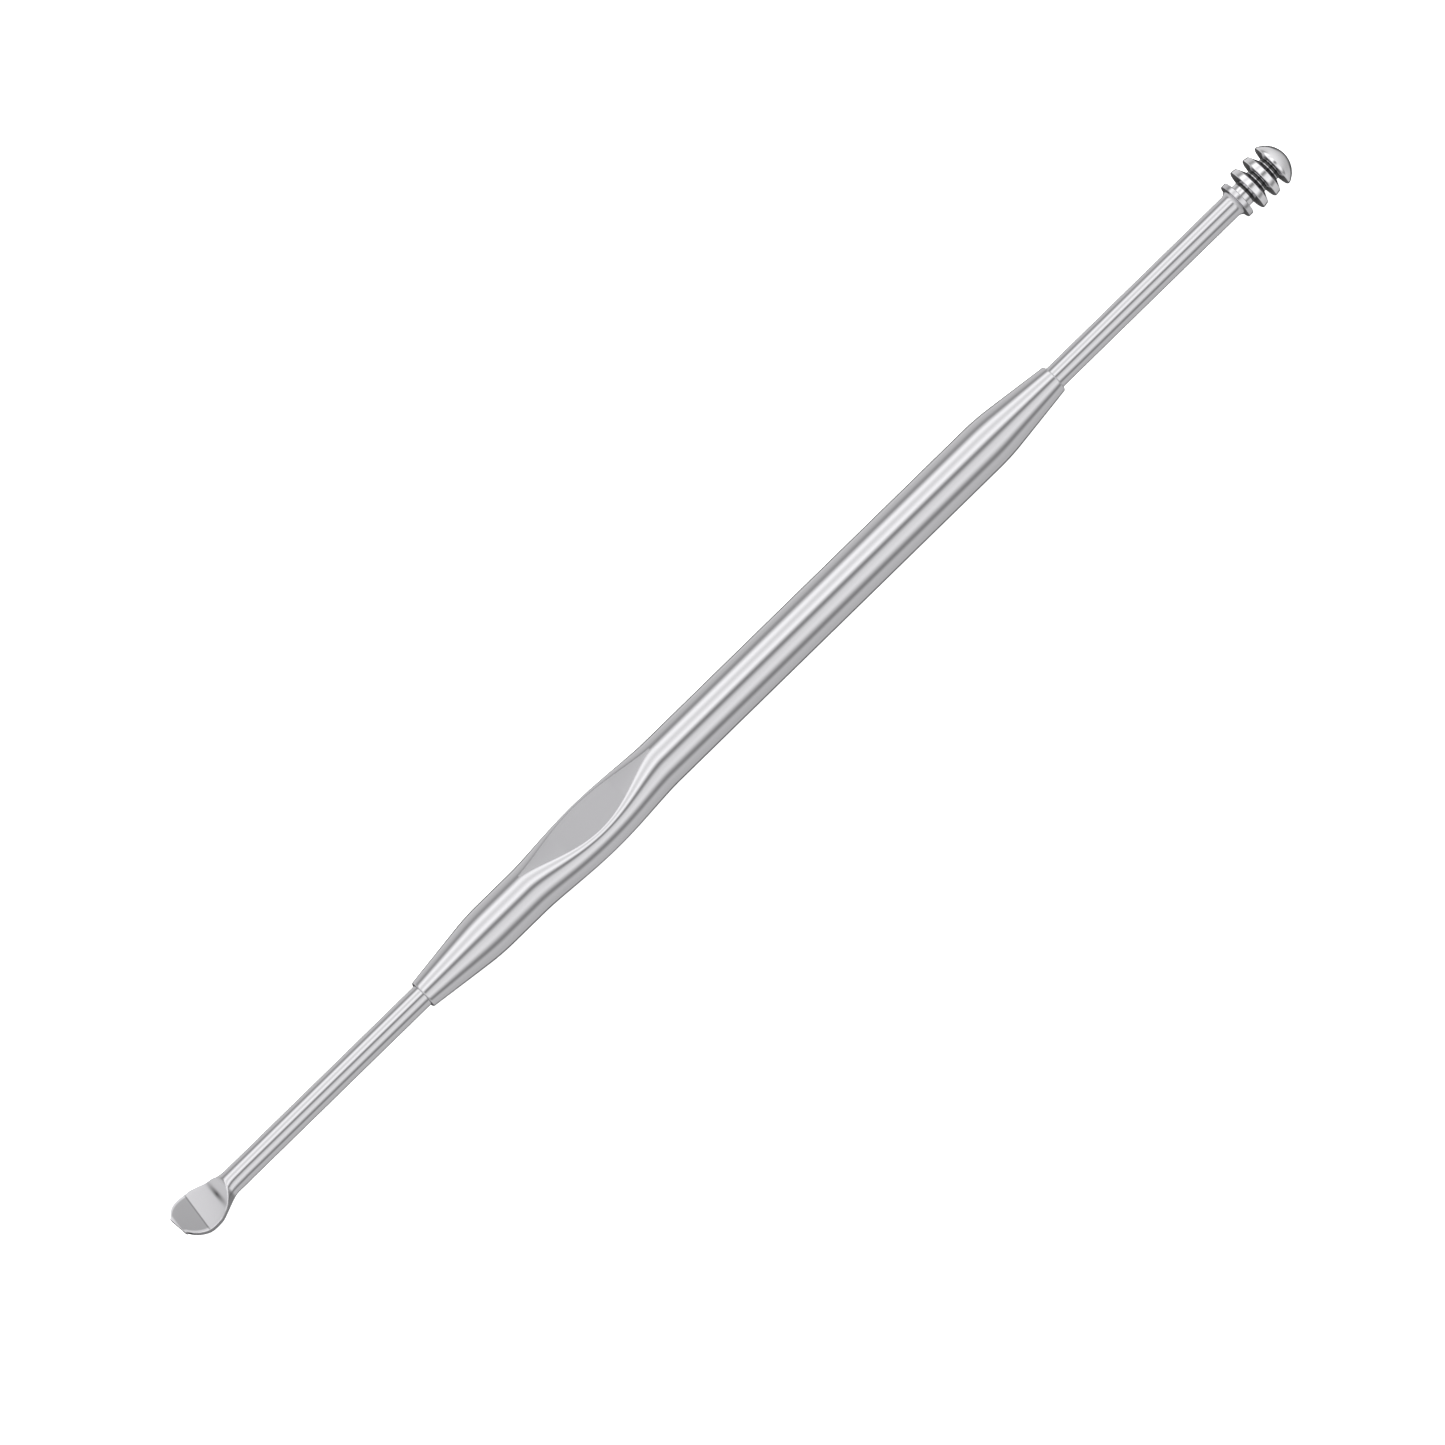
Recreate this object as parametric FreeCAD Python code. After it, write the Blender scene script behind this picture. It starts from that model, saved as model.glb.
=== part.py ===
import FreeCAD
import Part
import math
import os

from FreeCAD import Vector

# Double-ended ear cleaning tool, in millimetres.
#
# A solid steel bar, tapered at both ends, makes the handle, and thumb rests are pressed into two
# opposite sides of it. A wire shank is pressed into a blind bore in each end. One shank is forged into a
# small scoop whose tip turns up. The other ends in a flared collar that carries a turned head of rings.
#
# The origin is the middle of the whole tool, on its axis. +X points to the ring head, and a thumb rest
# and the open side of the scoop face +Z.

# Driving dimensions
total_length = 117.0
handle_length = 67.0
handle_radius = 2.0
shank_radius = 0.95
scoop_reach = 25.5          # from the scoop's tip to the handle
scoop_width = 4.4
ring_diameter = 3.68
ring_pitch = 1.29

# Handle
lip_radius = 1.2
lip_rounding = 0.18
taper_length = 6.5
shoulder_radius = 20.0      # blend from taper to bar
insertion = 10.0            # length of each shank inside the handle
drill_clearance = 0.4       # the bore runs this much further
drill_half_angle = 59.0

# Thumb rest
rest_centre = -14.8
rest_length = 14.0
rest_height = 1.3           # from the axis to the flat, at its deepest
rest_crown = 0.1            # height of the pressed body before its flats are cut
rest_half_width = 2.57
rest_squareness = 2.0       # corner weight of its section; a true ellipse has the square root of a half
rest_overrun = 0.35         # the flat runs out this far beyond the spread length
rest_fade = 1.7             # how quickly the press runs out towards its ends
rest_stations = 13

# Scoop
scoop_length = 5.4
tip_rounding = 1.75         # corners of the tip seen from above
scoop_floor = 0.2           # height of the floor above the axis
scoop_underside = 0.34      # from the axis down to its lowest line
slope_start = 0.5           # from the neck to where the upper face dips from the shank's top
slope_end = 1.55            # from the neck to where it reaches the floor
neck_blend = 2.0
shoulder_gap = 0.45         # straight edge between the round tip and the shoulder
shoulder_blend = 2.3
slope_rounding = 0.5
tip_length = 1.82           # the part that turns up
tip_angle = 18.0
tip_skew = 10.0             # the bend isn't quite square to the shank
forging_allowance = 1.1     # width of the forging before its outline is trimmed
neck_overlap = 0.15         # share of the spread where the forging is still as round as the wire

# Ring head
collar_radius = 1.54
collar_flare = 0.56
collar_rim = 0.46
first_gap = 0.66            # bare core between the collar and the first ring
ring_count = 2
core_radius = 0.97
ring_rise = 0.15            # along the axis, from the core to the rim
ring_rim = 0.5
ring_fall = 0.4
ring_slope = 0.96           # the rim narrows to this share of its radius
cap_rise = 0.18
cap_rim = 0.17
cap_dome = 1.21
edge_rounding = 0.12
root_rounding = 0.05
spigot_radius = 0.5
spigot_length = 3.0

# Places along the axis
tip_x = -total_length / 2
top_x = total_length / 2
handle_start = tip_x + scoop_reach
handle_end = handle_start + handle_length
rest_start = rest_centre - rest_length / 2
rest_end = rest_centre + rest_length / 2
neck_x = tip_x + scoop_length
cap_x = top_x - cap_dome - cap_rim - cap_rise
collar_face = cap_x - ring_count * ring_pitch - first_gap

x_axis = Vector(1, 0, 0)
margin = 1.0                # how far a cutting shape runs past what it cuts
block_side = 12.0           # wider than the tool
shortest_edge = 1e-6
sewing_gap = 1e-5
ellipse_weight = math.sqrt(0.5)


def side_view(x, z):
    return Vector(x, 0, z)


def top_view(x, y):
    return Vector(x, y, 0)


def outline_face(corners, place):
    """A face from (a, b, rounding) corners, where place(a, b) is the point in space."""
    starts = []
    middles = []
    ends = []
    for i, (a, b, rounding) in enumerate(corners):
        corner = Vector(a, b, 0)
        before = corners[i - 1]
        after = corners[(i + 1) % len(corners)]
        back = (Vector(before[0], before[1], 0) - corner).normalize()
        ahead = (Vector(after[0], after[1], 0) - corner).normalize()
        half_angle = back.getAngle(ahead) / 2
        reach = rounding / math.tan(half_angle)
        depth = rounding / math.sin(half_angle) - rounding
        starts.append(corner + back * reach)
        ends.append(corner + ahead * reach)
        middles.append(corner + (back + ahead).normalize() * depth if rounding else None)
    edges = []
    for i, middle in enumerate(middles):
        if middle is not None:
            points = [place(p.x, p.y) for p in (starts[i], middle, ends[i])]
            edges.append(Part.Arc(*points).toShape())
        line_start = ends[i]
        line_end = starts[(i + 1) % len(corners)]
        if line_start.distanceToPoint(line_end) > shortest_edge:
            line = Part.LineSegment(place(line_start.x, line_start.y), place(line_end.x, line_end.y))
            edges.append(line.toShape())
    return Part.Face(Part.Wire(edges))


def turned(corners):
    """A solid of revolution about the X axis, from (x, radius, rounding) corners."""
    return outline_face(corners, top_view).revolve(Vector(0, 0, 0), x_axis, 360)


def rod(radius, start, end):
    return Part.makeCylinder(radius, end - start, Vector(start, 0, 0), x_axis)


def block(start, end):
    """A block around the axis between two places along it."""
    corner = Vector(start, -block_side / 2, -block_side / 2)
    return Part.makeBox(end - start, block_side, block_side, corner)


def oval_end(station):
    """The flat face that closes a drawn-out body at its first or last station."""
    x, lift, wide, high, weight = station
    middle = Vector(x, 0, lift)
    if wide == high:
        edge = Part.Circle(middle, x_axis, wide).toShape()
    else:
        edge = Part.Ellipse(Vector(x, wide, lift), Vector(x, 0, lift + high), middle).toShape()
    return Part.Face(Part.Wire(edge))


def drawn_body(stations):
    """A smooth body guided by (x, lift, half width, half height, corner weight) ovals."""
    ring = [(1, 0), (1, 1), (0, 1), (-1, 1), (-1, 0), (-1, -1), (0, -1), (1, -1), (1, 0)]
    poles = []
    weights = []
    for across, up in ring:
        poles.append([Vector(x, across * wide, lift + up * high) for x, lift, wide, high, _ in stations])
        weights.append([station[-1] if across and up else 1.0 for station in stations])
    inner_knots = len(stations) - 4
    surface = Part.BSplineSurface()
    surface.buildFromPolesMultsKnots(
        poles, [3, 2, 2, 2, 3], [4] + [1] * inner_knots + [4],
        list(range(5)), list(range(inner_knots + 2)), False, False, 2, 3, weights)
    shell = Part.makeShell([surface.toShape(), oval_end(stations[0]), oval_end(stations[-1])])
    shell.sewShape(sewing_gap)
    body = Part.Solid(shell)
    if body.Volume < 0:
        body.reverse()
    return body


def rest_body():
    """The bar where it is pressed: squarer, lower and wider, and round again at both ends."""
    stations = []
    for i in range(rest_stations):
        x = rest_start + rest_length * i / (rest_stations - 1)
        q = (x - rest_centre) / (rest_length / 2)
        depth = max(0.0, 1 - q * q) ** rest_fade
        # The first and last two stations stay round, so that the body runs smoothly into the bar.
        if i in (1, rest_stations - 2):
            depth = 0.0
        wide = handle_radius + (rest_half_width - handle_radius) * depth
        high = handle_radius + (rest_height + rest_crown - handle_radius) * depth
        weight = ellipse_weight + (rest_squareness - ellipse_weight) * depth
        stations.append((x, 0, wide, high, weight))
    return drawn_body(stations)


def rest_press():
    """All that lies above the upper flat, which is a shallow arc along the bar."""
    reach = rest_length / 2 + rest_overrun
    arc = Part.Arc(
        Vector(rest_centre - reach, 0, handle_radius),
        Vector(rest_centre, 0, rest_height),
        Vector(rest_centre + reach, 0, handle_radius)).toShape()
    ceiling = block_side / 2
    corners = [
        Vector(rest_centre + reach, 0, handle_radius),
        Vector(rest_centre + reach, 0, ceiling),
        Vector(rest_centre - reach, 0, ceiling),
        Vector(rest_centre - reach, 0, handle_radius),
    ]
    sides = [Part.LineSegment(a, b).toShape() for a, b in zip(corners, corners[1:])]
    face = Part.Face(Part.Wire([arc] + sides))
    face.translate(Vector(0, -block_side / 2, 0))
    return face.extrude(Vector(0, block_side, 0))


def blind_bore(mouth, direction):
    """The drilled hole for a shank, from its mouth into the bar."""
    depth = insertion + drill_clearance
    point = shank_radius / math.tan(math.radians(drill_half_angle))
    return turned([
        (mouth - direction * margin, 0, 0),
        (mouth - direction * margin, shank_radius, 0),
        (mouth + direction * depth, shank_radius, 0),
        (mouth + direction * (depth + point), 0, 0),
    ])


def make_handle():
    bar = turned([
        (handle_start, 0, 0),
        (handle_start, lip_radius, lip_rounding),
        (handle_start + taper_length, handle_radius, shoulder_radius),
        (handle_end - taper_length, handle_radius, shoulder_radius),
        (handle_end, lip_radius, lip_rounding),
        (handle_end, 0, 0),
    ])
    ends = bar.cut(block(rest_start, rest_end))
    handle = ends.fuse(rest_body())
    upper_press = rest_press()
    lower_press = upper_press.copy()
    lower_press.rotate(Vector(0, 0, 0), x_axis, 180)
    bores = [blind_bore(handle_start, 1), blind_bore(handle_end, -1)]
    for cutter in [upper_press, lower_press] + bores:
        handle = handle.cut(cutter)
    return handle


def scoop_body():
    """The forged end of the wire: flattened, spread and turned up, before its upper face is pressed."""
    bend_x = tip_x + tip_length
    half_width = scoop_width / 2
    full_width = forging_allowance * half_width
    rise = math.tan(math.radians(tip_angle))
    spread = [
        # place from neck (0) to bend (1), half width, half height
        (-neck_overlap, shank_radius, shank_radius),
        (0.0, shank_radius, shank_radius),
        (0.2, 1.15 * shank_radius, 0.95 * shank_radius),
        (0.45, 0.75 * half_width, 0.85 * shank_radius),
        (0.7, half_width, 0.65 * shank_radius),
        (1.0, full_width, scoop_underside),
        (1.35, full_width, scoop_underside),
        (1.7, full_width, scoop_underside),
        (2.0, full_width, scoop_underside),
    ]
    stations = []
    for share, wide, high in spread:
        x = neck_x + (bend_x - neck_x) * share
        lift = max(0.0, bend_x - x) * rise
        stations.append((x, lift, wide, high, ellipse_weight))
    return drawn_body(stations)


def scoop_press():
    """All that lies above the scoop's upper face: down the slope, along the floor and up the tip."""
    bend_x = tip_x + tip_length
    end_x = tip_x - 2 * margin
    rise = math.tan(math.radians(tip_angle))
    shank_top = shank_radius + root_rounding
    ceiling = block_side / 2
    face = outline_face([
        (neck_x + 2 * margin, shank_top, 0),
        (neck_x - slope_start, shank_top, slope_rounding),
        (neck_x - slope_end, scoop_floor, slope_rounding),
        (bend_x, scoop_floor, slope_rounding),
        (end_x, scoop_floor + (bend_x - end_x) * rise, 0),
        (end_x, ceiling, 0),
        (neck_x + 2 * margin, ceiling, 0),
    ], side_view)
    face.translate(Vector(0, -block_side / 2, 0))
    press = face.extrude(Vector(0, block_side, 0))
    press.rotate(Vector(bend_x, 0, 0), Vector(0, 0, 1), -tip_skew)
    return press


def scoop_blank():
    """The scoop's outline from above, as an upright block that trims the forging."""
    half_width = scoop_width / 2
    shoulder_x = tip_x + half_width + shoulder_gap
    upper = [
        (neck_x + 2 * margin, shank_radius + root_rounding, 0),
        (neck_x, shank_radius + root_rounding, neck_blend),
        (shoulder_x, half_width, shoulder_blend),
        (tip_x, half_width, tip_rounding),
    ]
    lower = [(x, -y, rounding) for x, y, rounding in reversed(upper)]
    face = outline_face(upper + lower, top_view)
    face.translate(Vector(0, 0, -block_side / 2))
    return face.extrude(Vector(0, 0, block_side))


def make_scoop_shank():
    scoop = scoop_body().common(scoop_blank()).cut(scoop_press())
    join_x = neck_x + (neck_x - tip_x - tip_length) * neck_overlap
    return rod(shank_radius, join_x, handle_start + insertion).fuse(scoop)


def make_ring_shank():
    body = turned([
        (handle_end - insertion, 0, 0),
        (handle_end - insertion, shank_radius, edge_rounding),
        (collar_face - collar_rim, shank_radius, collar_flare),
        (collar_face - collar_rim, collar_radius, edge_rounding),
        (collar_face, collar_radius, edge_rounding),
        (collar_face, 0, 0),
    ])
    return body.cut(rod(spigot_radius, collar_face - spigot_length - edge_rounding, collar_face + margin))


def make_ring_head():
    ring_radius = ring_diameter / 2
    corners = [
        (collar_face - spigot_length, 0, 0),
        (collar_face - spigot_length, spigot_radius, 0),
        (collar_face, spigot_radius, 0),
        (collar_face, core_radius, 0),
    ]
    for i in range(ring_count):
        x = collar_face + first_gap + i * ring_pitch
        corners += [
            (x, core_radius, root_rounding),
            (x + ring_rise, ring_radius, edge_rounding),
            (x + ring_rise + ring_rim, ring_slope * ring_radius, edge_rounding),
            (x + ring_rise + ring_rim + ring_fall, core_radius, root_rounding),
        ]
    dome_x = top_x - cap_dome
    corners += [
        (cap_x, core_radius, root_rounding),
        (cap_x + cap_rise, ring_radius, edge_rounding),
        (dome_x, ring_radius, 0),
        (dome_x, 0, 0),
    ]
    sphere_radius = (cap_dome ** 2 + ring_radius ** 2) / (2 * cap_dome)
    sphere = Part.makeSphere(sphere_radius, Vector(top_x - sphere_radius, 0, 0))
    return turned(corners).fuse(sphere.common(block(dome_x, top_x + margin)))


def main():
    os.makedirs("parts", exist_ok=True)
    nodes = {
        "handle": make_handle(),
        "scoop_shank": make_scoop_shank(),
        "ring_shank": make_ring_shank(),
        "ring_head": make_ring_head(),
    }
    for name, shape in nodes.items():
        box = shape.optimalBoundingBox(False, False)
        print(f"{name}: {len(shape.Solids)} solid, valid {shape.isValid()}, {shape.Volume:.3f} mm3, "
              f"x {box.XMin:.2f} to {box.XMax:.2f}, y {box.YMin:.2f} to {box.YMax:.2f}, "
              f"z {box.ZMin:.2f} to {box.ZMax:.2f}")
        shape.exportStep(f"parts/{name}.step")


main()
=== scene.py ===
import math

import bmesh
import bpy
from mathutils import Matrix, Vector


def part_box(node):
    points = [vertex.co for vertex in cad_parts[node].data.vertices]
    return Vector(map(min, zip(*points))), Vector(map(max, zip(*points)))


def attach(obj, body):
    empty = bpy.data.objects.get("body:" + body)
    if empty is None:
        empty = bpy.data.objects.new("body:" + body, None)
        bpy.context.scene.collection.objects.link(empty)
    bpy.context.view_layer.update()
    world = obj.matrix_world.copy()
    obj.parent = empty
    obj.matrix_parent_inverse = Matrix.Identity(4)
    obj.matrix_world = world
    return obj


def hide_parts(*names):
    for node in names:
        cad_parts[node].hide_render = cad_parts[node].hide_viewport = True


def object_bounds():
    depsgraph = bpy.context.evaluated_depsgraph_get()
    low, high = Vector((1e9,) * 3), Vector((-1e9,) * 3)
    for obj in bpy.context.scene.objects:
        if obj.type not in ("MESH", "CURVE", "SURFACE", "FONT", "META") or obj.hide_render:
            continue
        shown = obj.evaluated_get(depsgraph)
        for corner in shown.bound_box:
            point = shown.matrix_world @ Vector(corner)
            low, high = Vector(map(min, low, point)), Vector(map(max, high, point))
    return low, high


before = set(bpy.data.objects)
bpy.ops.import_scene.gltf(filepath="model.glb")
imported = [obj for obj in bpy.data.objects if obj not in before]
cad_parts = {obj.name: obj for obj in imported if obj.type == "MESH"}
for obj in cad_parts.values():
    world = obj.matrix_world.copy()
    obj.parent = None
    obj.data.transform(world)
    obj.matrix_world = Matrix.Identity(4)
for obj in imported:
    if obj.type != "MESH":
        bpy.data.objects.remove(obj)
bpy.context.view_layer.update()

mm = 0.001
tiny = 1e-7
nearlyNothing = 0.01 * mm          # radius of a ring that is about to close to a point
longestStep = 1.5 * mm             # between rings on a plain stretch

handleLow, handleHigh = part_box("handle")
scoopLow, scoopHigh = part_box("scoop_shank")
ringShankLow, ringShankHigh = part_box("ring_shank")
ringHeadLow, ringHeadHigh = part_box("ring_head")
print("frame loaded:", ", ".join(sorted(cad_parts)))


def startRing(name, x, radius, sides):
    # a ring standing across the tool's axis, open, with no vertex on the top or side lines
    bpy.ops.object.select_all(action="DESELECT")
    bpy.ops.mesh.primitive_circle_add(
        vertices=sides, radius=radius, fill_type="NOTHING", location=(x, 0, 0), rotation=(0, math.pi / 2, 0))
    piece = bpy.context.active_object
    piece.name = name
    piece.data.name = name
    bpy.ops.object.transform_apply(location=True, rotation=True, scale=True)
    bpy.ops.object.mode_set(mode="EDIT")
    bpy.ops.mesh.select_mode(type="VERT")
    bpy.ops.mesh.select_all(action="SELECT")
    bpy.ops.transform.rotate(value=math.pi / sides, orient_axis="X", center_override=(x, 0, 0))
    return piece


def pickRing(piece, sides, index, test=None):
    # selects one ring, counted in the order drawn, or the part of it that passes the test
    bpy.ops.mesh.select_all(action="DESELECT")
    mesh = bmesh.from_edit_mesh(piece.data)
    mesh.verts.ensure_lookup_table()
    for vertex in mesh.verts[index * sides:(index + 1) * sides]:
        vertex.select = test is None or test(vertex.co)
    mesh.select_flush(True)


def drawOut(profile):
    # carries the selected ring through (x, radius) stations
    for (x0, r0), (x1, r1) in zip(profile, profile[1:]):
        bpy.ops.mesh.extrude_region_move(TRANSFORM_OT_translate={"value": (x1 - x0, 0, 0)})
        if abs(r1 - r0) > tiny:
            bpy.ops.transform.resize(value=(1, r1 / r0, r1 / r0), center_override=(x1, 0, 0))


def setPaintedLightAndMatte(piece, lightAndMatte):
    # writes each vertex's (painted light, matte) pair: a factor on the colour that paints light and shade
    # onto the steel, and how much duller it is
    bpy.ops.object.mode_set(mode="OBJECT")
    for i, name in enumerate(("paintedLight", "matte")):
        layer = piece.data.attributes.new(name, "FLOAT", "POINT")
        layer.data.foreach_set("value", [finish[i] for finish in lightAndMatte])
    bpy.ops.object.mode_set(mode="EDIT")


def closeEnds(piece, sides, rings):
    # both ends shrink to a point on the axis, the last drawn first
    for index in (rings - 1, 0):
        pickRing(piece, sides, index)
        bpy.ops.mesh.merge(type="CENTER")


def finishPiece(piece, smoothAngle=35):
    bpy.ops.mesh.select_all(action="SELECT")
    bpy.ops.mesh.normals_make_consistent(inside=False)
    bpy.ops.object.mode_set(mode="OBJECT")
    bpy.ops.object.shade_smooth_by_angle(angle=math.radians(smoothAngle))
    # broad faces keep their own direction where they meet narrow ones
    bpy.ops.object.modifier_add(type="WEIGHTED_NORMAL")
    piece.modifiers[-1].keep_sharp = True
    bpy.ops.object.modifier_apply(modifier=piece.modifiers[-1].name)
    print(piece.name, "made,", len(piece.data.polygons), "faces")


def roundedProfile(corners, steps=6):
    # (x, radius, rounding) corners to (x, radius) stations, with an arc at each rounded corner
    stations = []
    for i, (x, r, rounding) in enumerate(corners):
        here = Vector((x, r))
        if rounding == 0 or i in (0, len(corners) - 1):
            stations.append((x, r))
            continue
        back = (Vector(corners[i - 1][:2]) - here).normalized()
        ahead = (Vector(corners[i + 1][:2]) - here).normalized()
        half = back.angle(ahead) / 2
        if half > math.radians(89.9):
            stations.append((x, r))
            continue
        reach = rounding / math.tan(half)
        centre = here + (back + ahead).normalized() * rounding / math.sin(half)
        first = here + back * reach - centre
        turn = first.angle_signed(here + ahead * reach - centre)
        for k in range(steps + 1):
            a = -turn * k / steps
            spoke = Matrix.Rotation(a, 2) @ first
            stations.append(tuple(centre + spoke))
    return stations


def evenOut(stations, longest):
    # adds stations so that no step along the axis is longer than this
    out = [stations[0]]
    for (x0, r0), (x1, r1) in zip(stations, stations[1:]):
        pieces = max(1, math.ceil(abs(x1 - x0) / longest))
        for k in range(1, pieces + 1):
            out.append((x0 + (x1 - x0) * k / pieces, r0 + (r1 - r0) * k / pieces))
    return out


# the handle

handle = {
    "sides": 128,
    "barRadius": 2.0 * mm,
    "lipRadius": 1.2 * mm,
    "lipRounding": 0.16 * mm,
    "boreRadius": 0.955 * mm,
    "mouthChamfer": 0.07 * mm,
    "boreDepth": 10.4 * mm,
    "drillPoint": 0.57 * mm,
    "mouthRounding": 0.03 * mm,
    "plainEnd": 2.0 * mm,          # bar past the taper that the taper's blend runs into
    "arcSteps": 10,
    "taperLength": 6.5 * mm,
    "shoulderRadius": 20.0 * mm,
    "restCentre": 18.2 * mm,       # from the handle's scoop end
    "restLength": 14.0 * mm,
    "restHalfHeight": 1.3 * mm,
    "restHalfWidth": 2.56 * mm,
    "restFlat": 1.71 * mm,         # half width of the flat at its widest
    "restFade": 1.7,               # how quickly the press runs out to the ends
    "restRings": 70,
    "flatEdge": 0.055 * mm,        # takes in the first vertex on each side, and not the second
    "restMatte": 0.3,              # the pressed flats are duller than the turned bar
    "restShade": 1.0,
}


def handleEnd(mouth, inward):
    # from the drill point out of the bore, over the lip and up to the bar
    h = handle
    corners = [
        (mouth + inward * (h["boreDepth"] + h["drillPoint"]), nearlyNothing, 0),
        (mouth + inward * h["boreDepth"], h["boreRadius"], 0),
        (mouth + inward * h["mouthChamfer"], h["boreRadius"], 0),
        (mouth, h["boreRadius"] + h["mouthChamfer"], h["mouthRounding"]),
        (mouth, h["lipRadius"], h["lipRounding"]),
        (mouth + inward * h["taperLength"], h["barRadius"], h["shoulderRadius"]),
        (mouth + inward * (h["taperLength"] + h["plainEnd"]), h["barRadius"], 0),
    ]
    return roundedProfile(corners, h["arcSteps"])


def restPress(ring):
    # how far the press has gone at this ring of the rest, 0 at its ends and 1 in its middle
    q = 2 * ring / handle["restRings"] - 1
    return (1 - q * q) ** handle["restFade"]


def pressRest(piece, firstRing):
    # each ring between the ends of the rest is squeezed, and its two halves are moved apart
    h = handle
    for i in range(1, h["restRings"]):
        press = restPress(i)
        side = h["barRadius"] + (h["restHalfWidth"] - h["restFlat"] - h["barRadius"]) * press
        high = h["barRadius"] + (h["restHalfHeight"] - h["barRadius"]) * press
        pickRing(piece, h["sides"], firstRing + i)
        bpy.ops.transform.resize(value=(1, side / h["barRadius"], high / h["barRadius"]))
        for half in (1, -1):
            pickRing(piece, h["sides"], firstRing + i, lambda co: co.y * half > 0)
            bpy.ops.transform.translate(value=(0, half * h["restFlat"] * press, 0))


def restFinish(piece, firstRing):
    # the two flats are duller, and everything else is as turned
    h = handle
    lightAndMatte = []
    for i, vertex in enumerate(piece.data.vertices):
        ring = i // h["sides"] - firstRing
        inRest = 0 < ring < h["restRings"]
        flat = inRest and abs(vertex.co.y) < h["restFlat"] * restPress(ring) + h["flatEdge"]
        lightAndMatte.append((h["restShade"], h["restMatte"]) if flat else (1.0, 0.0))
    return lightAndMatte


def makeHandle():
    h = handle
    centre = handleLow.x + h["restCentre"]
    scoopEnd = evenOut(handleEnd(handleLow.x, 1), longestStep)
    ringEnd = handleEnd(handleHigh.x, -1)[::-1]
    rest = [
        (centre + (2 * i / h["restRings"] - 1) * h["restLength"] / 2, h["barRadius"])
        for i in range(h["restRings"] + 1)]
    bar = evenOut([rest[-1]] + ringEnd, longestStep)[1:]
    profile = scoopEnd + rest + bar
    piece = startRing("handle_bar", profile[0][0], profile[0][1], h["sides"])
    drawOut(profile)
    pressRest(piece, len(scoopEnd))
    piece.update_from_editmode()
    setPaintedLightAndMatte(piece, restFinish(piece, len(scoopEnd)))
    closeEnds(piece, h["sides"], len(profile))
    finishPiece(piece)
    return piece


# the scoop and its shank

scoop = {
    "sides": 128,
    "shankRadius": 0.95 * mm,
    "innerEndRounding": 0.1 * mm,
    "halfWidth": 2.14 * mm,        # before the shoulder's rounding takes a little off
    "tipDepth": 2.2 * mm,          # from the tip to the widest place
    "tipFullness": 2.3,            # 2 is an oval, more is squarer
    "shoulder": 2.72 * mm,         # from the tip
    "neckTaper": 0.513,            # how fast the sides close in behind the shoulder
    "shoulderBlend": 0.15 * mm,
    "neckBlend": 0.15 * mm,
    "neck": 6.4 * mm,              # from the tip, behind it the shank is round
    "slopeStart": 4.9 * mm,
    "slopeEnd": 3.85 * mm,
    "slopeRounding": 0.16 * mm,
    "floorHeight": 0.2 * mm,
    "floorDish": 0.03,             # the pressed face is very slightly hollow
    "rimRounding": 0.09 * mm,
    "wallSteepness": 0.5,
    "kneeShares": (0.66, 0.5),     # how much the two steps of the rim's rounding are lowered
    "edgeDepth": 0.2 * mm,
    "undersideDepth": 0.34 * mm,
    "bend": 1.82 * mm,
    "tipAngle": 18.0,
    "bendRounding": 0.12 * mm,
    "skew": 10.0,                  # the bend isn't quite square to the shank
    "twist": 3.0,                  # the pressed end is turned a little against the rest
    "searchReach": 4.0 * mm,       # safely past the outline
    "narrowest": 0.004 * mm,       # half length of the last ring at the tip
    "ringSpacing": 0.07 * mm,
    "tipRings": 40,
    "smoothAngle": 50,
    "floorPaintedLight": 1.2,             # painted reflection: the struck floor's colour is raised to stand for a bright reflection, and it is dull
    "floorMatte": 0.2,
    # painted shade: the bent tip's colour is lowered to stand for a darker reflection
    "tipPaintedShade": 0.76,
    "rimPaintedHighlight": 1.3,               # painted highlight along the rim of the tip
    "rimBand": 0.36 * mm,
    "sameLevel": 0.02 * mm,        # vertices this near the pressed face belong to it
    # painted shade on the scoop's side wall
    "wallPaintedShade": 0.45,
    "creasePaintedShade": 0.25,           # painted shade in the bottom of the bend and at the foot
    "footWidth": 0.3 * mm,
    "bendWidth": 0.05 * mm,
}


def smoothStep(a, b, x):
    t = min(1.0, max(0.0, (x - a) / (b - a)))
    return t * t * (3 - 2 * t)


def softMax(a, b, blend):
    # the larger of two, with a round join
    return 0.5 * (a + b + math.sqrt((a - b) ** 2 + blend * blend))


def softMin(a, b, blend):
    return -softMax(-a, -b, blend)


def scoopHalfWidth(fromTip):
    s = scoop
    if fromTip <= 0:
        return 20 * fromTip        # past the tip, and steep, so that a search climbs back
    n = s["tipFullness"]
    inTip = max(0.0, 1 - fromTip / s["tipDepth"])
    oval = s["halfWidth"] * (1 - inTip ** n) ** (1 / n)
    straight = s["halfWidth"] - s["neckTaper"] * (fromTip - s["shoulder"])
    return softMax(softMin(oval, straight, s["shoulderBlend"]), s["shankRadius"], s["neckBlend"])


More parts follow.
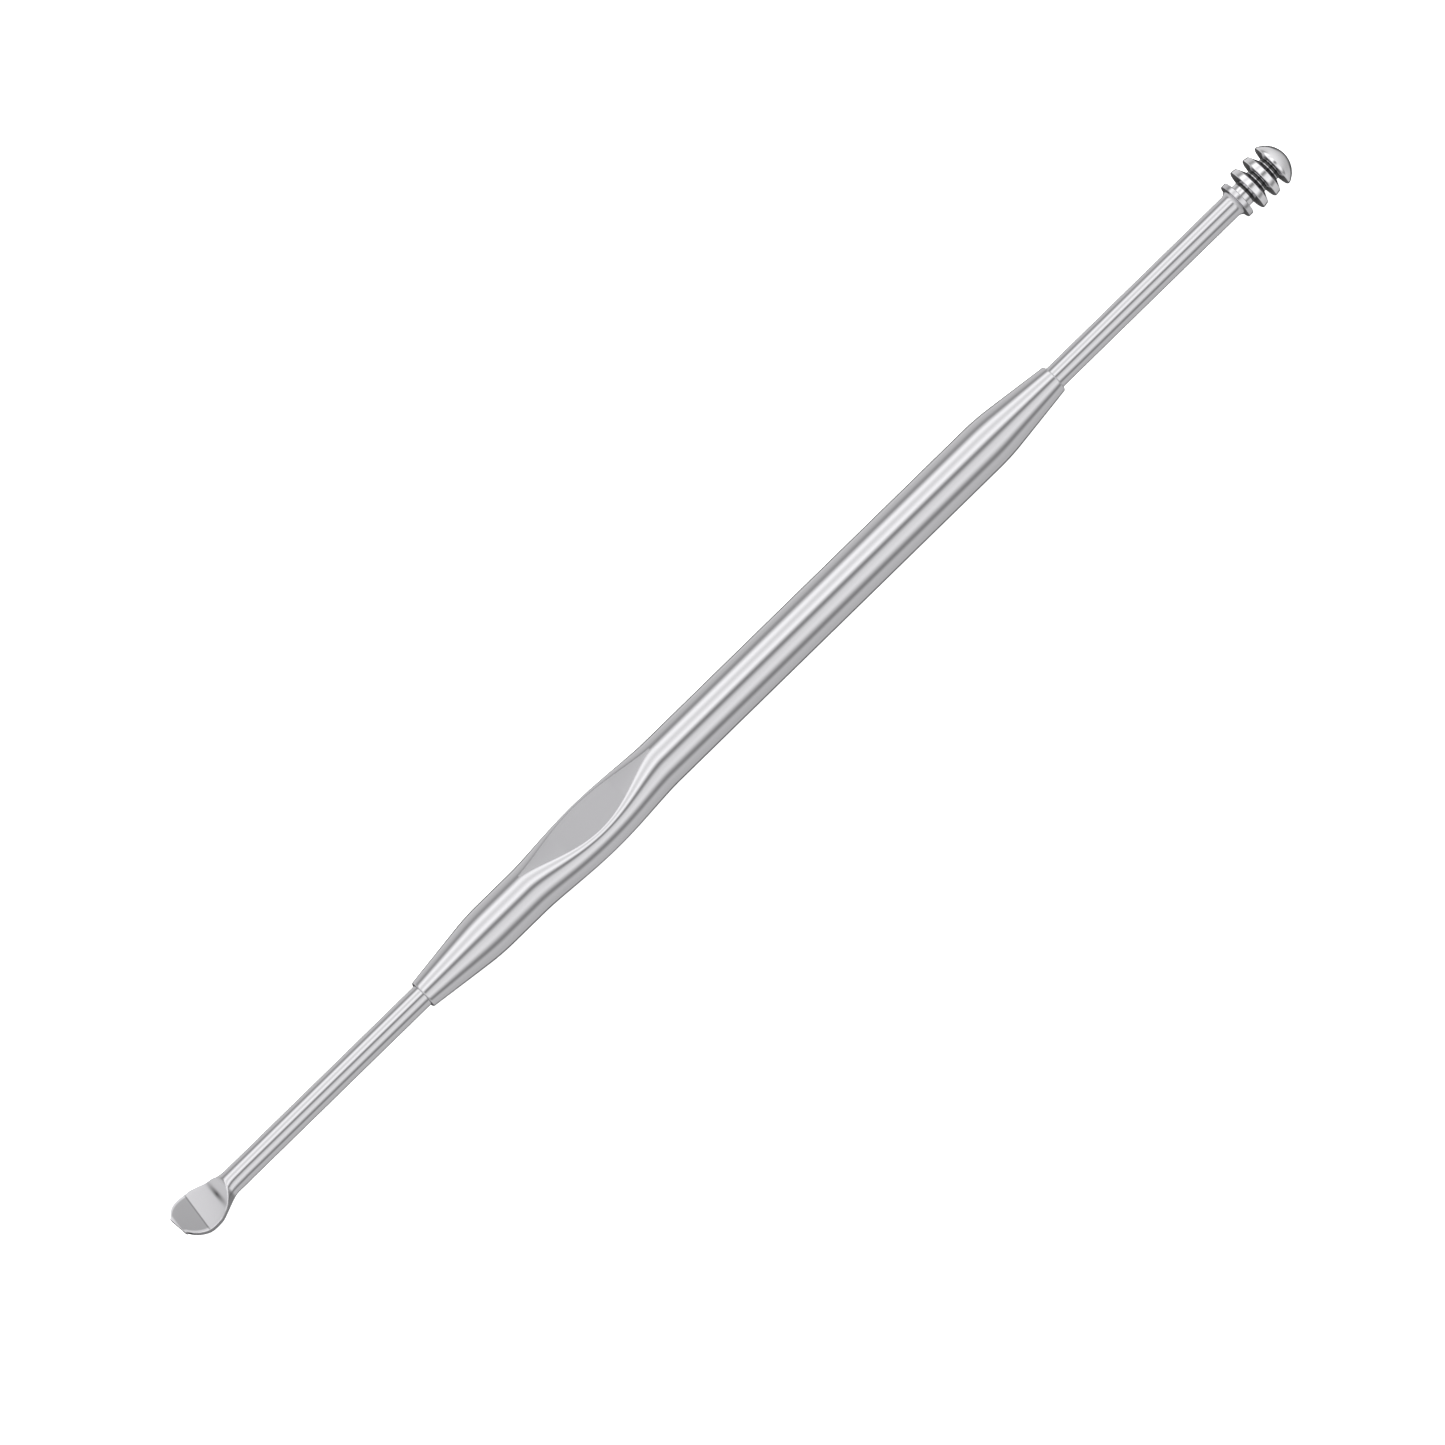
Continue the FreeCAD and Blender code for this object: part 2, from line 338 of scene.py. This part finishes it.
def scoopChord(fromTip, skew):
    # middle and half length of the outline's cut along a skewed cross line
    def room(out):
        return scoopHalfWidth(fromTip + out * math.sin(skew)) - abs(out) * math.cos(skew)

    low, high = -scoop["halfWidth"], scoop["halfWidth"]
    for _ in range(60):
        third = (high - low) / 3
        if room(low + third) < room(high - third):
            low += third
        else:
            high -= third
    inside = (low + high) / 2
    ends = []
    for side in (1, -1):
        near, far = inside, side * scoop["searchReach"]
        for _ in range(40):
            out = (near + far) / 2
            if room(out) > 0:
                near = out
            else:
                far = out
        ends.append(near)
    return (ends[0] + ends[1]) / 2, max(scoop["narrowest"], (ends[0] - ends[1]) / 2)


def squeeze(piece, ring, test, plane, share):
    # draws the part of a ring that passes the test towards a level plane
    pickRing(piece, scoop["sides"], ring, test)
    bpy.ops.transform.resize(value=(1, 1, share), center_override=(0, 0, plane))


def scoopPaintedLightAndMatte(piece, ring, top, fromTip, lastTip, halfLength):
    # the painted light and matte of one ring's vertices, while its pressed face is still level
    s = scoop
    mesh = bmesh.from_edit_mesh(piece.data)
    mesh.verts.ensure_lookup_table()
    forged = smoothStep(s["slopeStart"], s["slopeStart"] - s["footWidth"], fromTip)
    onTip = smoothStep(s["bend"] + s["bendWidth"], s["bend"] - s["bendWidth"], fromTip)
    foot = smoothStep(s["footWidth"], 0, abs(fromTip - s["slopeEnd"]))
    bend = max(0.0, 1 - abs(fromTip - s["bend"]) / s["bendWidth"])
    field = s["floorPaintedLight"] + (s["tipPaintedShade"] - s["floorPaintedLight"]) * onTip
    lightAndMatte = []
    for vertex in mesh.verts[ring * s["sides"]:(ring + 1) * s["sides"]]:
        if vertex.co.z > top - s["sameLevel"]:
            out = abs(vertex.co.y) / halfLength
            # the painted shade at the foot is darkest in the middle, and the painted highlight runs all
            # round the tip's rim
            dark = max(foot * max(0.0, 1 - out), bend)
            inside = min(halfLength - abs(vertex.co.y), fromTip - lastTip)
            highlightShare = onTip * smoothStep(s["rimBand"], s["rimBand"] / 2, inside)
            floor = field + (s["creasePaintedShade"] - field) * dark
            floor += (s["rimPaintedHighlight"] - floor) * highlightShare
            lightAndMatte.append((1 + (floor - 1) * forged, s["floorMatte"] * forged))
        elif -s["edgeDepth"] < vertex.co.z < top - s["rimRounding"]:
            # painted shade on the side wall
            lightAndMatte.append((1 + (s["wallPaintedShade"] - 1) * forged, 0.0))
        else:
            lightAndMatte.append((1.0, 0.0))
    return lightAndMatte


def shapeScoopRing(piece, ring, x, fromTip, lastTip):
    # shapes one ring and gives back its painted light and matte
    s = scoop
    r = s["shankRadius"]
    forged = smoothStep(s["neck"] - 0.4 * mm, s["bend"] + 0.5 * mm, fromTip)
    skew = math.radians(s["skew"]) * forged
    middle, halfLength = scoopChord(fromTip, skew)
    tall = 1 + s["wallSteepness"] * smoothStep(s["slopeStart"], s["slopeEnd"], fromTip)
    pickRing(piece, s["sides"], ring)
    bpy.ops.transform.resize(value=(1, halfLength / r, tall), center_override=(x, 0, 0))
    # the rim is rounded all round, so the last rings are lower too
    tipEdge = max(0.0, 1 - (fromTip - lastTip) / s["rimRounding"])
    drop = s["rimRounding"] * (1 - math.sqrt(1 - tipEdge ** 2))
    fall = (r - s["floorHeight"]) / (s["slopeStart"] - s["slopeEnd"])
    slope = s["floorHeight"] + fall * (fromTip - s["slopeEnd"])
    top = softMax(slope, s["floorHeight"], s["slopeRounding"]) - drop
    if top < r * tall:
        knee = s["rimRounding"] * smoothStep(r, s["floorHeight"] + 0.2 * mm, top)
        squeeze(piece, ring, lambda co: co.z > top - knee, top - knee, s["kneeShares"][0])
        squeeze(piece, ring, lambda co: co.z > top - knee / 3, top - knee / 3, s["kneeShares"][1])
        squeeze(piece, ring, lambda co: co.z > top, top, -s["floorDish"])
    depth = r + (s["undersideDepth"] - r) * forged - drop
    edge = s["edgeDepth"] - drop
    whole = r * tall
    kneeShare = (1 + (depth - edge) / (whole - edge)) / 2
    kneed = edge / 2 + (whole - edge / 2) * kneeShare
    squeeze(piece, ring, lambda co: co.z < -edge / 2, -edge / 2, kneeShare)
    squeeze(piece, ring, lambda co: co.z < -edge, -edge, (depth - edge) / (kneed - edge))
    lightAndMatte = scoopPaintedLightAndMatte(piece, ring, top, fromTip, lastTip, halfLength)
    rise = math.tan(math.radians(s["tipAngle"])) * math.cos(skew)
    lift = softMax((s["bend"] - fromTip) * rise, 0.0, s["bendRounding"] * rise)
    pickRing(piece, s["sides"], ring)
    bpy.ops.transform.translate(value=(0, middle, lift))
    bpy.ops.transform.rotate(value=skew, orient_axis="Z", center_override=(x, 0, 0))
    bpy.ops.transform.rotate(
        value=-math.radians(s["twist"]) * forged, orient_axis="X", center_override=(x, 0, 0))
    return lightAndMatte


def makeScoopShank():
    s = scoop
    tip, inner = scoopLow.x, scoopHigh.x
    shank = evenOut(roundedProfile([
        (inner, nearlyNothing, 0),
        (inner, s["shankRadius"], s["innerEndRounding"]),
        (tip + s["neck"], s["shankRadius"], 0)]), longestStep)
    # the skewed rings run on until the cross line only touches the outline
    skew = math.radians(s["skew"])
    lastTip = min(
        i * 0.001 * mm - scoopHalfWidth(i * 0.001 * mm) * math.tan(skew) for i in range(2000))
    count = round((s["neck"] - s["tipDepth"]) / s["ringSpacing"])
    forged = [s["neck"] - (s["neck"] - s["tipDepth"]) * i / count for i in range(1, count + 1)]
    reach = forged[-1] - lastTip
    forged += [
        lastTip + reach * (1 - math.sin(math.pi / 2 * i / s["tipRings"]))
        for i in range(1, s["tipRings"] + 1)]
    profile = shank + [(tip + f, s["shankRadius"]) for f in forged]
    piece = startRing("scoop_and_shank", profile[0][0], profile[0][1], s["sides"])
    drawOut(profile)
    lightAndMatte = [(1.0, 0.0)] * (len(shank) * s["sides"])
    for i, f in enumerate(forged):
        lightAndMatte += shapeScoopRing(piece, len(shank) + i, tip + f, f, lastTip)
    setPaintedLightAndMatte(piece, lightAndMatte)
    closeEnds(piece, s["sides"], len(profile))
    finishPiece(piece, s["smoothAngle"])
    return piece


# the ring end

ringShank = {
    "sides": 96,
    "radius": 0.95 * mm,
    "collarRadius": 1.54 * mm,
    "collarRim": 0.46 * mm,
    "flare": 0.56 * mm,
    "edge": 0.09 * mm,
    "innerEdge": 0.1 * mm,
    "boreEdge": 0.02 * mm,
    "spigotBore": 0.5 * mm,
    "spigotDepth": 3.1 * mm,
}

ringHead = {
    "sides": 128,
    "spigotRadius": 0.49 * mm,
    "spigotEdge": 0.05 * mm,
    "collarGap": 0.005 * mm,
    "coreEdge": 0.02 * mm,
    "coreRadius": 0.97 * mm,
    "radius": 1.84 * mm,
    "firstGap": 0.66 * mm,
    "pitch": 1.29 * mm,
    "rings": 2,
    "rise": 0.15 * mm,
    "rim": 0.5 * mm,
    "fall": 0.4 * mm,
    "slope": 0.96,
    "capRise": 0.18 * mm,
    "capRim": 0.17 * mm,
    "edge": 0.12 * mm,
    "root": 0.05 * mm,
    "domeSteps": 26,
    # painted light: the core is lightened, and the rims are painted as highlights
    "corePaintedLight": 1.1,
    "rimPaintedHighlight": 1.2,
    "facePaintedShade": 0.1,              # painted shade on the faces towards the scoop and the core beside them
    "faceBand": 0.15 * mm,
    "bandFade": 0.05 * mm,
}


def makeRingShank():
    r = ringShank
    inner, face = ringShankLow.x, ringShankHigh.x
    profile = roundedProfile([
        (inner, nearlyNothing, 0),
        (inner, r["radius"], r["innerEdge"]),
        (face - r["collarRim"], r["radius"], r["flare"]),
        (face - r["collarRim"], r["collarRadius"], r["edge"]),
        (face, r["collarRadius"], r["edge"]),
        (face, r["spigotBore"], r["boreEdge"]),
        (face - r["spigotDepth"], r["spigotBore"], 0),
        (face - r["spigotDepth"], nearlyNothing, 0)], 10)
    profile = evenOut(profile, longestStep)
    piece = startRing("ring_end_shank", profile[0][0], profile[0][1], r["sides"])
    drawOut(profile)
    setPaintedLightAndMatte(piece, [(1.0, 0.0)] * (len(profile) * r["sides"]))
    closeEnds(piece, r["sides"], len(profile))
    finishPiece(piece)
    return piece


def makeRingHead():
    r = ringHead
    face, top = ringShankHigh.x, ringHeadHigh.x
    corners = [
        (ringHeadLow.x, nearlyNothing, 0),
        (ringHeadLow.x, r["spigotRadius"], r["spigotEdge"]),
        (face + r["collarGap"], r["spigotRadius"], 0),
        (face + r["collarGap"], r["coreRadius"], r["coreEdge"])]
    for i in range(r["rings"]):
        x = face + r["firstGap"] + i * r["pitch"]
        corners += [
            (x - r["faceBand"] - r["bandFade"], r["coreRadius"], 0),
            (x - r["faceBand"], r["coreRadius"], 0),
            (x, r["coreRadius"], r["root"]),
            (x + r["rise"], r["radius"], r["edge"]),
            (x + r["rise"] + r["rim"], r["slope"] * r["radius"], r["edge"]),
            (x + r["rise"] + r["rim"] + r["fall"], r["coreRadius"], r["root"])]
    capX = face + r["firstGap"] + r["rings"] * r["pitch"]
    domeX = capX + r["capRise"] + r["capRim"]
    corners += [
        (capX - r["faceBand"] - r["bandFade"], r["coreRadius"], 0),
        (capX - r["faceBand"], r["coreRadius"], 0),
        (capX, r["coreRadius"], r["root"]),
        (capX + r["capRise"], r["radius"], r["edge"]),
        (domeX, r["radius"], 0)]
    profile = roundedProfile(corners, 7)
    # the dome is part of a sphere
    height = top - domeX
    ball = (height ** 2 + r["radius"] ** 2) / (2 * height)
    spread = math.asin(min(1.0, r["radius"] / ball))
    for i in range(1, r["domeSteps"] + 1):
        a = spread * (1 - i / r["domeSteps"])
        profile.append((top - ball + ball * math.cos(a), max(nearlyNothing, ball * math.sin(a))))
    piece = startRing("turned_ring_head", profile[0][0], profile[0][1], r["sides"])
    drawOut(profile)
    faces = [face + r["firstGap"] + i * r["pitch"] for i in range(r["rings"] + 1)]
    # painted light and shade: rims and core lightened, faces towards the scoop and the core beside them
    # darkened
    lightAndMatte = []
    for x, radius in profile:
        paintedLight = r["rimPaintedHighlight"]
        if radius < r["slope"] * r["radius"] - r["edge"] / 2 and x < domeX:
            beside = any(edge - r["faceBand"] - tiny < x < edge + r["capRise"] for edge in faces)
            paintedLight = r["facePaintedShade"] if beside else r["corePaintedLight"]
        lightAndMatte += [(paintedLight, 0.0)] * r["sides"]
    setPaintedLightAndMatte(piece, lightAndMatte)
    closeEnds(piece, r["sides"], len(profile))
    finishPiece(piece)
    return piece


handleBar = makeHandle()
scoopShank = makeScoopShank()
ringEndShank = makeRingShank()
turnedRingHead = makeRingHead()

for piece, node, slot in (
        (handleBar, "handle", "handle_steel"),
        (scoopShank, "scoop_shank", "shank_steel"),
        (ringEndShank, "ring_shank", "shank_steel"),
        (turnedRingHead, "ring_head", "ring_steel")):
    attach(piece, "root")
    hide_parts(node)
print("pieces placed")


# steel

lines = {
    "acrossPerMetre": 160,         # across the tool the pattern hardly changes, so its marks run around it
    "grainPerMetre": 14000,
    "smearsPerMetre": 420,
    "smearSwirl": 0.6,
    "worn": 0.9,                   # the colour's share where the smears are
}


def addMath(nodes, links, operation, first, second=None, third=None):
    # a Math node fed by sockets or plain numbers
    node = nodes.new("ShaderNodeMath")
    node.operation = operation
    for i, value in enumerate((first, second, third)):
        if isinstance(value, (int, float)):
            node.inputs[i].default_value = value
        elif value is not None:
            links.new(value, node.inputs[i])
    return node.outputs[0]


def addNoise(nodes, links, vector, scale, detail, distortion=0.0):
    node = nodes.new("ShaderNodeTexNoise")
    node.inputs["Scale"].default_value = scale
    node.inputs["Detail"].default_value = detail
    node.inputs["Distortion"].default_value = distortion
    links.new(vector, node.inputs["Vector"])
    return node.outputs["Fac"]


def makeTurnedLines():
    # fine lines around the tool, faint smears and grain, all from the piece's own coordinates
    group = bpy.data.node_groups.new("turnedLines", "ShaderNodeTree")
    for name, value in (("Lines per mm", 9.0), ("Line Depth", 1.0), ("Grain", 0.2), ("Smear", 0.3)):
        socket = group.interface.new_socket(name=name, in_out="INPUT", socket_type="NodeSocketFloat")
        socket.default_value = value
    for name in ("Height", "Smears"):
        group.interface.new_socket(name=name, in_out="OUTPUT", socket_type="NodeSocketFloat")
    nodes, links = group.nodes, group.links
    given = nodes.new("NodeGroupInput").outputs
    out = nodes.new("NodeGroupOutput").inputs
    place = nodes.new("ShaderNodeTexCoord").outputs["Object"]
    stretch = nodes.new("ShaderNodeCombineXYZ")
    links.new(addMath(nodes, links, "MULTIPLY", given["Lines per mm"], 1000), stretch.inputs["X"])
    stretch.inputs["Y"].default_value = lines["acrossPerMetre"]
    stretch.inputs["Z"].default_value = lines["acrossPerMetre"]
    scaled = nodes.new("ShaderNodeVectorMath")
    scaled.operation = "MULTIPLY"
    links.new(place, scaled.inputs[0])
    links.new(stretch.outputs[0], scaled.inputs[1])
    turned = addNoise(nodes, links, scaled.outputs[0], 1, 3)
    grain = addNoise(nodes, links, place, lines["grainPerMetre"], 2)
    smears = addNoise(nodes, links, place, lines["smearsPerMetre"], 4, lines["smearSwirl"])
    deep = addMath(nodes, links, "MULTIPLY", turned, given["Line Depth"])
    links.new(addMath(nodes, links, "MULTIPLY_ADD", grain, given["Grain"], deep), out["Height"])
    links.new(addMath(nodes, links, "MULTIPLY", smears, given["Smear"]), out["Smears"])
    return group


def steel(name, group, look):
    material = bpy.data.materials.new(name)
    material.use_nodes = True
    nodes, links = material.node_tree.nodes, material.node_tree.links
    shader = nodes["Principled BSDF"]
    shader.inputs["Metallic"].default_value = 1.0
    finish = nodes.new("ShaderNodeGroup")
    finish.node_tree = group
    for socket in ("Lines per mm", "Line Depth", "Grain", "Smear"):
        finish.inputs[socket].default_value = look[socket]
    marks = {}
    # the painted light factor scales the colour, painting light and shade on the steel; matte adds roughness
    for mark in ("paintedLight", "matte"):
        reader = nodes.new("ShaderNodeAttribute")
        reader.attribute_name = mark
        marks[mark] = reader.outputs["Fac"]
    rough = addMath(nodes, links, "ADD", finish.outputs["Smears"], look["roughness"])
    links.new(addMath(nodes, links, "ADD", rough, marks["matte"]), shader.inputs["Roughness"])
    tint = nodes.new("ShaderNodeMix")
    tint.data_type = "RGBA"
    tint.inputs["A"].default_value = (*look["colour"], 1)
    tint.inputs["B"].default_value = (*[c * lines["worn"] for c in look["colour"]], 1)
    links.new(finish.outputs["Smears"], tint.inputs["Factor"])
    shaded = nodes.new("ShaderNodeVectorMath")
    shaded.operation = "SCALE"
    links.new(tint.outputs["Result"], shaded.inputs[0])
    links.new(marks["paintedLight"], shaded.inputs["Scale"])
    links.new(shaded.outputs[0], shader.inputs["Base Color"])
    bump = nodes.new("ShaderNodeBump")
    bump.inputs["Distance"].default_value = look["bump"]
    bump.inputs["Strength"].default_value = 1.0
    links.new(finish.outputs["Height"], bump.inputs["Height"])
    links.new(bump.outputs["Normal"], shader.inputs["Normal"])
    return material


satin = {
    "colour": (0.66, 0.655, 0.675),
    "roughness": 0.1,
    "Lines per mm": 7.0,
    "Line Depth": 1.0,
    "Grain": 0.15,
    "Smear": 0.06,
    "bump": 0.0006 * mm,
}

bright = {
    "colour": (0.68, 0.675, 0.69),
    "roughness": 0.05,
    "Lines per mm": 9.0,
    "Line Depth": 0.6,
    "Grain": 0.05,
    "Smear": 0.05,
    "bump": 0.0004 * mm,
}

turnedLines = makeTurnedLines()
satinSteel = steel("satinSteel", turnedLines, satin)
brightSteel = steel("brightSteel", turnedLines, bright)
for piece in (handleBar, scoopShank, ringEndShank):
    piece.data.materials.append(satinSteel)
turnedRingHead.data.materials.append(brightSteel)
print("steel mixed")


# the studio

studio = {
    "floorBelow": 0.01 * mm,
    "floorSize": 12.0,
    "floorGlow": 0.85,
    "floorColour": (0.9, 0.9, 0.905),
    # brightness of the tent around the tool, by angle: 0 overhead, + behind it, - in front of it, 180 below
    "tent": [
        (-180, 0.6), (-130, 0.7), (-110, 0.3), (-80, 1.1), (-60, 1.0), (-40, 0.3), (-20, 1.4), (0, 1.0),
        (20, 1.4), (45, 0.4), (70, 0.7), (100, 0.8), (115, 0.1), (165, 0.1), (180, 0.6)],
    # brightness towards the far ends of the tool, below and above
    "endGlow": (0.5, 1.0),
    "endStarts": (0.6, 0.9),       # how far along the tool a direction points before the end glow takes over
    "endHeights": (-0.7, 0.7),
    "seenBehind": 1.0,
    "fillHeight": 0.6,
    "fillSize": 1.2,
    "fillWatts": 2.2,
}

camera = {
    "towards": (-0.1305, -0.6634, 0.7368),   # from the tool to the camera
    "roll": 44.32,                           # the tool's lean across the picture
    "lens": 1000,
    "frameWidth": 108.7 * mm,
    "aimRight": -0.873 * mm,
    "aimUp": -2.374 * mm,
}


def makeFloor():
    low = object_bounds()[0]
    bpy.ops.object.select_all(action="DESELECT")
    bpy.ops.mesh.primitive_plane_add(size=studio["floorSize"], location=(0, 0, low.z - studio["floorBelow"]))
    floor = bpy.context.active_object
    floor.name = "studio_floor"
    bpy.ops.object.transform_apply(location=True)
    material = bpy.data.materials.new("paleFloor")
    material.use_nodes = True
    shader = material.node_tree.nodes["Principled BSDF"]
    shader.inputs["Base Color"].default_value = (*studio["floorColour"], 1)
    shader.inputs["Roughness"].default_value = 0.9
    shader.inputs["Specular IOR Level"].default_value = 0.1
    shader.inputs["Emission Color"].default_value = (1, 1, 1, 1)
    shader.inputs["Emission Strength"].default_value = studio["floorGlow"]
    floor.data.materials.append(material)
    floor.visible_glossy = False


def greyRamp(nodes, stops, low, high):
    ramp = nodes.new("ShaderNodeValToRGB")
    ramp.color_ramp.interpolation = "EASE"
    elements = ramp.color_ramp.elements
    elements.remove(elements[1])
    for i, (place, level) in enumerate(stops):
        element = elements[0] if i == 0 else elements.new((place - low) / (high - low))
        element.position = (place - low) / (high - low)
        element.color = (level, level, level, 1)
    return ramp


def makeTent():
    world = bpy.data.worlds.new("softTent")
    bpy.context.scene.world = world
    world.use_nodes = True
    nodes, links = world.node_tree.nodes, world.node_tree.links

    def between(source, low, high, smooth=False):
        node = nodes.new("ShaderNodeMapRange")
        node.interpolation_type = "SMOOTHSTEP" if smooth else "LINEAR"
        node.inputs["From Min"].default_value = low
        node.inputs["From Max"].default_value = high
        links.new(source, node.inputs["Value"])
        return node.outputs[0]

    def blend(share, first, second):
        node = nodes.new("ShaderNodeMix")
        for socket, value in (("Factor", share), ("A", first), ("B", second)):
            if isinstance(value, (int, float)):
                node.inputs[socket].default_value = value
            else:
                links.new(value, node.inputs[socket])
        return node.outputs["Result"]

    background = nodes["Background"]
    coords = nodes.new("ShaderNodeTexCoord")
    parts = nodes.new("ShaderNodeSeparateXYZ")
    links.new(coords.outputs["Generated"], parts.inputs[0])
    angle = addMath(nodes, links, "ARCTAN2", parts.outputs["Y"], parts.outputs["Z"])
    around = greyRamp(nodes, studio["tent"], -180, 180)
    links.new(between(angle, -math.pi, math.pi), around.inputs["Fac"])
    glow = blend(between(parts.outputs["Z"], *studio["endHeights"], True), *studio["endGlow"])
    far = addMath(nodes, links, "ABSOLUTE", parts.outputs["X"])
    tent = blend(between(far, *studio["endStarts"], True), around.outputs["Color"], glow)
    seen = nodes.new("ShaderNodeLightPath")
    level = blend(seen.outputs["Is Camera Ray"], tent, studio["seenBehind"])
    links.new(level, background.inputs["Color"])


def makeFloorLight():
    # fills the floor, and isn't seen in the steel
    bpy.ops.object.light_add(type="AREA", location=(0, 0, studio["fillHeight"]))
    lamp = bpy.context.active_object
    lamp.name = "floorFill"
    lamp.data.shape = "SQUARE"
    lamp.data.size = studio["fillSize"]
    lamp.data.energy = studio["fillWatts"]
    lamp.visible_glossy = False


def makeCamera():
    back = Vector(camera["towards"]).normalized()
    along = Vector((1, 0, 0))
    along = (along - along.dot(back) * back).normalized()
    across = back.cross(along)
    a = math.radians(camera["roll"])
    right = math.cos(a) * along - math.sin(a) * across
    up = math.sin(a) * along + math.cos(a) * across
    bpy.ops.object.camera_add()
    taker = bpy.context.active_object
    taker.name = "camera"
    taker.data.lens = camera["lens"]
    distance = camera["frameWidth"] * camera["lens"] / taker.data.sensor_width
    aim = right * camera["aimRight"] + up * camera["aimUp"]
    turned = Matrix((right, up, back)).transposed().to_4x4()
    taker.matrix_world = Matrix.Translation(aim + back * distance) @ turned
    taker.data.clip_start = 0.01
    taker.data.clip_end = 20
    bpy.context.scene.camera = taker


makeFloor()
makeTent()
makeFloorLight()
makeCamera()
bpy.context.scene.view_settings.view_transform = "Standard"
print("studio ready")
